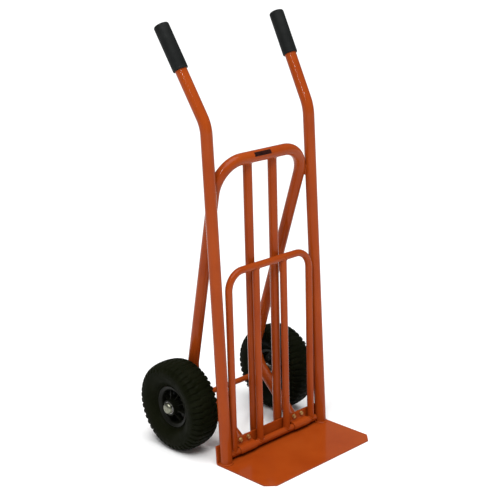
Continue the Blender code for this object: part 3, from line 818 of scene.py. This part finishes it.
def strap_outline():
    """Side view of a strap: flat on the upstand, then hooked closely round the pivot tube."""
    inner = EXT_R + 0.0004
    outer = inner + STRAP_T
    back = UPSTAND_FRONT - FIT
    front = back - STRAP_T
    # Degrees round the pivot tube: where the hook leaves the upstand, its knee and its end
    start, knee, end, step = 48, 72, 204, 6

    def on_arc(radius, angle):
        return at_depth(PIVOT_DEPTH + radius * cos(angle), PIVOT_Z + radius * sin(angle))

    inner_arc = [on_arc(inner, radians(a)) for a in range(start, end + 1, step)]
    outer_arc = [on_arc(outer, radians(a)) for a in range(end, knee, -step)]
    knee_z = PIVOT_Z + outer * sin(radians(knee))
    outline = [at_depth(back, STRAP_TOP_Z),
               at_depth(back, PIVOT_Z + inner * sin(radians(start)))]
    outline += inner_arc + outer_arc
    outline += [at_depth(front - 0.0011, knee_z + 0.0012),
                at_depth(front - 0.0003, knee_z + 0.0024),
                at_depth(front, knee_z + 0.0042), at_depth(front, STRAP_TOP_Z)]
    return outline


def make_straps():
    outline = strap_outline()
    for side, word in SIDES:
        xs = [side * STRAP_X - STRAP_W / 2 + STRAP_W * k / 6 for k in range(7)]
        rings = [[Vector((x, y, z)) for y, z in outline] for x in xs]
        obj = piece(word + "_saddle_strap", skin(rings, closed=False), PAINT,
                    "frame", [word + "_hinge_strap"])
        soften(obj, 0.0007, segments=3, angle=50)


# ---- fasteners

def hex_ring(centre, axis, flats, limit, reference):
    """A hexagon's outline, cut back to a circle where the chamfer takes its corners."""
    axis = Vector(axis).normalized()
    side = Vector(reference)
    side = (side - axis * side.dot(axis)).normalized()
    other = axis.cross(side)
    ring = []
    for i in range(ROUND):
        a = 2 * pi * i / ROUND
        r = min(flats / 2 / cos((a % (pi / 3)) - pi / 6), limit)
        ring.append(Vector(centre) + r * (cos(a) * side + sin(a) * other))
    return ring


def hex_bolt(seat, inward, head, shank, reference, flange=0.0):
    """A hexagon bolt, with or without a flange, seated on a face, its shank running inward.

    The limit that never cuts the hexagon is its whole width over flats.
    """
    half = BOLT_FLATS / 2

    def hexagon(depth, limit):
        return hex_ring(seat + inward * depth, inward, BOLT_FLATS, limit, reference)

    def disc(depth, radius):
        return circle(seat + inward * depth, inward, radius, ROUND, reference)

    rings = [[seat + inward * -(head - 0.0003) + (p - seat) * 0.55 for p in hexagon(0, half)],
             [p - inward * (head - 0.00015) for p in hexagon(0, half * 0.90)],
             [p - inward * head for p in hexagon(0, half * 0.97)],
             hexagon(-head + 0.0004, half * 1.06), hexagon(-head + 0.0009, BOLT_FLATS)]
    if flange:
        rings += [hexagon(-0.0016, BOLT_FLATS), disc(-0.0013, flange * 0.86),
                  disc(-0.0008, flange), disc(0, flange)]
    else:
        rings += [hexagon(-0.0003, BOLT_FLATS), hexagon(0, half * 1.05)]
    rings.append(disc(0, BOLT_SHANK_R))
    for k in range(int(shank / THREAD_PITCH)):
        for share, depth in ((0.25, 0.0), (0.75, 0.00035)):
            rings.append(disc(THREAD_PITCH * (k + share), BOLT_SHANK_R - depth))
    rings.append(disc(shank, BOLT_SHANK_R - 0.0006))
    return skin(rings, closed=False)


def hex_nut(seat, outward, height, reference):
    """A hexagon nut seated on a face, its corners chamfered, its bore countersunk outside."""
    half = BOLT_FLATS / 2

    def hexagon(rise, limit):
        return hex_ring(seat + outward * rise, outward, BOLT_FLATS, limit, reference)

    def disc(rise, radius):
        return circle(seat + outward * rise, outward, radius, ROUND, reference)

    rings = [hexagon(0, half * 1.05), hexagon(0.0005, BOLT_FLATS),
             hexagon(height - 0.0008, BOLT_FLATS), hexagon(height, half),
             disc(height, NUT_BORE_R + 0.0004), disc(height - 0.0005, NUT_BORE_R),
             disc(0, NUT_BORE_R)]
    return skin(rings, closed=True)


def make_hinge_fasteners():
    """Two flanged bolts through each strap and the upstand, with a nut behind each."""
    for side, word in SIDES:
        for index, step in enumerate((-0.5, 0.5), start=1):
            y, z = at_depth(0.0, BOLT_Z)
            axis_point = Vector((side * STRAP_X + step * BOLT_SPACING, y, z))
            seat = axis_point + BACKWARD * (UPSTAND_FRONT - STRAP_T - 0.0004)
            turn = Matrix.Rotation(radians(17 * index + 9 * side), 3, BACKWARD) @ UPWARD
            shank = UPSTAND_BACK + 0.0075 - (UPSTAND_FRONT - STRAP_T)
            bolt = hex_bolt(seat, BACKWARD, 0.0046, shank, turn, flange=0.0064)
            piece(f"{word}_strap_bolt_{index}", bolt, "yellow_zinc", "frame",
                  [f"{word}_hinge_bolt_{index}"])
            nut = hex_nut(axis_point + BACKWARD * (UPSTAND_BACK + GAP), BACKWARD, 0.005, turn)
            piece(f"{word}_strap_nut_{index}", nut, "yellow_zinc", "frame",
                  [f"{word}_hinge_nut_{index}"])


# ---- wheels

# The tyre's cavity: radius of its middle, half its width and half its height
CAVITY_R = 0.086
CAVITY_HALF_W = 0.0334
CAVITY_HALF_H = 0.0314
BEAD_SEAT_R = 0.0515
BEAD_OUT = 0.0225
BLOCK_GROOVE = 0.0040
FINE_GROOVE = 0.0026


def tyre_section():
    """Half of the outer section, from the bead to the crown, as (u, r)."""
    half = [(BEAD_OUT, 0.0602), (0.0262, 0.0612), (0.0286, 0.0640), (0.0330, 0.0672),
            (0.0380, 0.0725), (0.0422, 0.0795), (0.0448, 0.0880), (0.0457, 0.0975),
            (0.0450, 0.1060), (0.0425, 0.1137), (0.0378, 0.1200), (0.0290, 0.1243),
            (0.0150, 0.1267), (0.0, WHEEL_R)]
    return smooth_profile(half, 3)


def tread_depth(u, r, turn):
    """How far the tread's grooves sink below the tyre's envelope; turn counts tread pitches.

    Grooves across the shoulders, staggered left to right, short ones across the middle, and a
    wavy one round the tyre on either side of the middle.
    """
    across = abs(u)
    stagger = 0.5 if u > 0 else 0.0
    phase = (turn + stagger) % 1.0
    lateral = 1 - ease(abs(phase - 0.5), 0.09, 0.22)
    shoulder = ease(across, 0.0150, 0.0175) * ease(r, 0.1050, 0.1115)
    depth = BLOCK_GROOVE * lateral * shoulder
    centre_phase = (turn + 0.25) % 1.0
    centre_gap = 1 - ease(abs(centre_phase - 0.5), 0.08, 0.17)
    depth = max(depth, FINE_GROOVE * centre_gap * (1 - ease(across, 0.0085, 0.0105)))
    wander = 0.0132 + 0.0018 * sin(2 * pi * turn)
    ring_gap = 1 - ease(abs(across - wander), 0.0010, 0.0024)
    return max(depth, FINE_GROOVE * ring_gap)


def sidewall_relief(r, turn):
    """Fine ribs under the shoulder and two moulded rings on the sidewall."""
    band = ease(r, 0.0925, 0.0945)
    ribs = 0.00045 * (0.5 + 0.5 * cos(4 * pi * turn)) * band * (1 - ease(r, 0.1030, 0.1050))
    low_ring = 0.0006 * (1 - ease(abs(r - 0.0745), 0.0006, 0.0016))
    high_ring = 0.0005 * (1 - ease(abs(r - 0.0905), 0.0004, 0.0012))
    return ribs + (low_ring + high_ring)


def make_tyre(side, word):
    """A hollow tyre: its outer section carries the tread and the sidewall's relief."""
    def on_tyre(u, r, a):
        return Vector((side * (WHEEL_X + u), AXLE_Y + r * sin(a), WHEEL_R + r * cos(a)))

    half = tyre_section()
    section = half + [(-u, r) for u, r in half[-2::-1]]
    count = TREAD_PITCHES * STEPS_PER_PITCH
    angles = [2 * pi * k / count for k in range(count)]
    rings = []
    for i, (u, r) in enumerate(section):
        u0, r0 = section[max(i - 1, 0)]
        u1, r1 = section[min(i + 1, len(section) - 1)]
        length = sqrt((u1 - u0) ** 2 + (r1 - r0) ** 2)
        # The section's normal, turned outward
        nu, nr = (r1 - r0) / length, -(u1 - u0) / length
        if nr * (r - CAVITY_R) + nu * u < 0:
            nu, nr = -nu, -nr
        ring = []
        for k, a in enumerate(angles):
            turn = k / STEPS_PER_PITCH
            lift = sidewall_relief(r, turn) - tread_depth(u, r, turn)
            ring.append(on_tyre(u + nu * lift, r + nr * lift, a))
        rings.append(ring)
    for u, r in inner_section():
        rings.append([on_tyre(u, r, a) for a in angles])
    piece(word + "_treaded_tyre", skin(rings, closed=True), "tyre_rubber", word + "_wheel",
          [word + "_tyre"], crease=55)


def inner_section():
    """Beads and cavity of the tyre, from the far bead back to the near one."""
    bead_u = 0.014
    toe = asin(bead_u / CAVITY_HALF_W)
    steps = 12
    points = [(-BEAD_OUT, BEAD_SEAT_R), (-bead_u, BEAD_SEAT_R)]
    for k in range(steps + 1):
        a = -(pi - toe) + 2 * (pi - toe) * k / steps
        points.append((CAVITY_HALF_W * sin(a), CAVITY_R + CAVITY_HALF_H * cos(a)))
    return points + [(bead_u, BEAD_SEAT_R), (BEAD_OUT, BEAD_SEAT_R)]


def rim_half_profile():
    """Closed section of one rim half: hub, web, dished barrel and rolled flange."""
    bore = BEARING_R + FIT
    seat = HUB_HALF_W - BEARING_W - GAP
    hub = [(0.0002, 0.0140), (seat, 0.0140), (seat, bore), (HUB_HALF_W - 0.0006, bore),
           (HUB_HALF_W, bore + 0.0006), (HUB_HALF_W, 0.0209), (HUB_HALF_W - 0.0006, 0.0215)]
    dish = smooth_profile([(0.012, 0.0226), (0.0072, 0.0231), (0.0050, 0.0254),
                           (0.0045, 0.0290)], 4)
    barrel = smooth_profile([(0.0045, 0.0405), (0.0053, 0.0434), (0.0085, 0.0451),
                             (0.0150, 0.0464), (0.0205, 0.0476), (0.0236, 0.0498),
                             (0.0250, 0.0530), (0.0262, 0.0560)], 4)
    lip = smooth_profile([(0.0268, 0.0572), (0.0268, 0.0586), (0.0258, 0.0593),
                          (0.0244, 0.0590), (0.0234, 0.0578)], 3)
    return hub + dish + barrel + lip + [(0.0228, BEAD_SEAT_R - GAP), (0.0002, 0.0492)]


def rib(side, angle):
    """A moulded rib from the hub to the barrel."""
    def point(u, r, half):
        local = Vector((side * (WHEEL_X + u), half, r))
        turned_to = Matrix.Rotation(-angle, 3, "X") @ Vector((0, local.y, local.z))
        return Vector((local.x, AXLE_Y + turned_to.y, WHEEL_R + turned_to.z))

    rings = []
    for u, r in ((0.0255, 0.0212), (0.0205, 0.0290), (0.0165, 0.0380), (0.0155, 0.0470)):
        rings.append([point(0.0040, r, -0.0016), point(u - 0.0007, r, -0.0010),
                      point(u, r, -0.0004), point(u, r, 0.0004),
                      point(u - 0.0007, r, 0.0010), point(0.0040, r, 0.0016)])
    return skin(rings, closed=False)


def make_rims(side, word):
    """The outer half with its eight ribs, and the plain inner half."""
    profile = rim_half_profile()
    bodies = [on_wheel_axis(profile, side, RIM_ROUND)]
    bodies += [rib(side, radians(22.5 + 45 * k)) for k in range(8)]
    piece(word + "_rim_face", merge(bodies), "black_plastic", word + "_wheel",
          [word + "_rim_outer"])
    mirrored = [(-u, r) for u, r in profile]
    piece(word + "_rim_back", on_wheel_axis(mirrored, side, RIM_ROUND), "black_plastic",
          word + "_wheel", [word + "_rim_inner"])


def make_rim_bolts(side, word):
    """Four screws between the ribs, each turned a little differently."""
    for index in range(4):
        angle = pi / 2 * (index + 0.5)
        seat = Vector((side * (WHEEL_X + 0.0048), AXLE_Y + RIM_BOLT_R * sin(angle),
                       WHEEL_R + RIM_BOLT_R * cos(angle)))
        turn = Vector((0, sin(angle * 1.7), cos(angle * 1.7)))
        bolt = hex_bolt(seat, Vector((-side, 0, 0)), 0.0040, 0.0135, turn)
        piece(f"{word}_rim_screw_{index + 1}", bolt, "blacked_steel", word + "_wheel",
              [f"{word}_rim_bolt_{index + 1}"])


def make_valve(side, word):
    """Rubber stem with a ribbed cap, slanting out of the barrel."""
    start = Vector((side * (WHEEL_X + 0.008), AXLE_Y, WHEEL_R + 0.0530))
    end = Vector((side * (WHEEL_X + 0.0176), AXLE_Y, WHEEL_R + 0.0340))
    direction = (end - start).normalized()
    length = (end - start).length
    profile = [(0, 0.0031), (length * 0.20, 0.0031), (length * 0.24, 0.0036),
               (length * 0.34, 0.0034), (length * 0.55, 0.0027), (length * 0.60, 0.0027),
               (length * 0.61, 0.0032)]
    for k in range(8):
        s = length * (0.63 + 0.04 * k)
        profile += [(s, 0.0034), (s + length * 0.02, 0.0031)]
    profile += [(length * 0.975, 0.0032), (length, 0.0024)]
    piece(word + "_valve", turned_along(start, direction, profile, 32), "grip_rubber",
          word + "_wheel", [word + "_valve_stem"])


def make_bearings(side, word):
    """Sealed bearings: two ground races with a recess for the seal between them."""
    for name, low in (("outer", HUB_HALF_W - BEARING_W), ("inner", -HUB_HALF_W)):
        high = low + BEARING_W
        profile = [(low, AXLE_BORE_R), (high, AXLE_BORE_R), (high, 0.0110),
                   (high - 0.0006, 0.0112), (high - 0.0006, 0.0148), (high, 0.0150),
                   (high, BEARING_R - 0.0005), (high - 0.0005, BEARING_R),
                   (low + 0.0005, BEARING_R), (low, BEARING_R - 0.0005), (low, 0.0150),
                   (low + 0.0006, 0.0148), (low + 0.0006, 0.0112), (low, 0.0110)]
        piece(f"{word}_{name}_ball_bearing", on_wheel_axis(profile, side), "bearing_steel",
              word + "_wheel", [f"{word}_bearing_{name}"])


def make_axle_ends(side, word):
    """Washers and the domed cap that stay on the axle."""
    face = HUB_HALF_W + GAP
    for name, low in (("outer", face), ("inner", -face - WASHER_T)):
        high = low + WASHER_T
        washer = [(low, AXLE_BORE_R), (high, AXLE_BORE_R), (high, 0.0141), (high - 0.0003, 0.0145),
                  (low + 0.0003, 0.0145), (low, 0.0141)]
        piece(f"{word}_{name}_thrust_washer", on_wheel_axis(washer, side), "zinc", "frame",
              [f"{word}_washer_{name}"])
    seat = HUB_HALF_W + WASHER_T + 2 * GAP
    tip = seat + 0.0095
    dome = smooth_profile([(seat + 0.0016, 0.0164), (seat + 0.0026, 0.0152),
                           (seat + 0.0046, 0.0145), (seat + 0.0066, 0.0128),
                           (seat + 0.0083, 0.0098), (seat + 0.0092, 0.0062),
                           (seat + 0.0094, 0.0040), (seat + 0.0088, 0.0026),
                           (seat + 0.0086, 0.0010)], 4)
    profile = [(tip - 0.0030, AXLE_R * 0.5), (tip - 0.0018, AXLE_BORE_R), (seat, AXLE_BORE_R),
               (seat, 0.0160), (seat + 0.0005, 0.0165)] + dome
    piece(word + "_domed_cap", on_wheel_axis(profile, side, 64, closed=False), "zinc", "frame",
          [word + "_hub_cap"])


def finish_inner_tubes(frame):
    """The inner tubes stay as they are, out of sight in the tyres, in their own rubber."""
    for word in ("left", "right"):
        mesh = frame["nodes"][word + "_inner_tube"].data
        mesh.materials.clear()
        mesh.materials.append(FINISH["grip_rubber"])


def make_wheels():
    for side, word in SIDES:
        make_tyre(side, word)
        make_rims(side, word)
        make_rim_bolts(side, word)
        make_valve(side, word)
        make_bearings(side, word)
        make_axle_ends(side, word)


# ---- studio

def make_floor():
    """A wide level grid just under the wheels, which isn't part of the object."""
    half = 45.0
    cells = 24
    level = -0.0002
    bm = bmesh.new()
    marks = [-half + 2 * half * i / cells for i in range(cells + 1)]
    points = [[bm.verts.new((x, y, level)) for y in marks] for x in marks]
    for i in range(cells):
        for j in range(cells):
            bm.faces.new((points[i][j], points[i + 1][j], points[i + 1][j + 1], points[i][j + 1]))
    mesh = bpy.data.meshes.new("studio_floor")
    bm.to_mesh(mesh)
    bm.free()
    mesh.materials.append(FINISH["pale_floor"])
    floor = bpy.data.objects.new("studio_floor", mesh)
    bpy.context.scene.collection.objects.link(floor)


def add_area_light(name, location, target, size, power):
    """A rectangular light aimed at a target; power in watts."""
    data = bpy.data.lights.new(name, "AREA")
    data.shape = "RECTANGLE"
    data.size, data.size_y = size
    data.energy = power
    lamp = bpy.data.objects.new(name, data)
    lamp.location = location
    lamp.rotation_euler = (Vector(target) - Vector(location)).to_track_quat("-Z", "Y").to_euler()
    bpy.context.scene.collection.objects.link(lamp)


def add_sun(name, direction, angle, strength):
    """A wide, soft light from very far off; angle in degrees."""
    data = bpy.data.lights.new(name, "SUN")
    data.energy = strength
    data.angle = radians(angle)
    lamp = bpy.data.objects.new(name, data)
    lamp.rotation_euler = Vector(direction).to_track_quat("-Z", "Y").to_euler()
    bpy.context.scene.collection.objects.link(lamp)


def make_studio():
    """Even white surroundings, a soft overhead light and two softboxes in front."""
    scene = bpy.context.scene
    world = bpy.data.worlds.new("studio")
    world.use_nodes = True
    background = world.node_tree.nodes["Background"]
    background.inputs["Color"].default_value = (1.0, 1.0, 1.0, 1)
    background.inputs["Strength"].default_value = 0.28
    scene.world = world
    add_sun("overhead_softbox", direction=(0.12, 0.24, -1.0), angle=60, strength=3.45)
    add_area_light("front_left_softbox", location=(-1.6, -0.9, 2.3), target=(0, 0, 0.75),
                   size=(0.10, 0.80), power=18)
    add_area_light("low_front_softbox", location=(-1.9, -3.2, 0.9), target=(0, 0, 0.35),
                   size=(2.0, 1.2), power=4)
    scene.view_settings.view_transform = "Standard"
    scene.view_settings.look = "None"


def make_camera():
    """The photograph's viewpoint, aimed at the target and rolled slightly."""
    forward = Vector((sin(-CAMERA_AZIMUTH) * cos(CAMERA_ELEVATION),
                      cos(CAMERA_AZIMUTH) * cos(CAMERA_ELEVATION), -sin(CAMERA_ELEVATION)))
    right = Vector((cos(CAMERA_AZIMUTH), sin(CAMERA_AZIMUTH), 0))
    up = right.cross(forward)
    rolled_right = right * cos(CAMERA_ROLL) + up * sin(CAMERA_ROLL)
    rolled_up = up * cos(CAMERA_ROLL) - right * sin(CAMERA_ROLL)
    data = bpy.data.cameras.new("camera")
    data.lens = CAMERA_LENS
    data.sensor_width = CAMERA_SENSOR
    data.clip_end = 200
    camera = bpy.data.objects.new("camera", data)
    rotation = Matrix((rolled_right, rolled_up, -forward)).transposed().to_4x4()
    place = Matrix.Translation(CAMERA_TARGET - forward * CAMERA_DISTANCE)
    camera.matrix_world = place @ rotation
    bpy.context.scene.collection.objects.link(camera)
    bpy.context.scene.camera = camera


# ---- assembly

def main():
    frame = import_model()
    for make_finish in (powder_coat, tyre_rubber, grip_rubber, moulded_plastic, zinc_plate,
                        yellow_zinc, ground_steel, blacked_steel, label_film, floor_paint):
        make_finish()
    make_uprights()
    make_grips()
    make_hoop()
    make_inner_bars()
    make_toe_plate()
    make_axle()
    make_label()
    make_frame_welds()
    make_extension()
    make_straps()
    make_hinge_fasteners()
    make_wheels()
    finish_inner_tubes(frame)
    make_floor()
    make_studio()
    make_camera()


main()
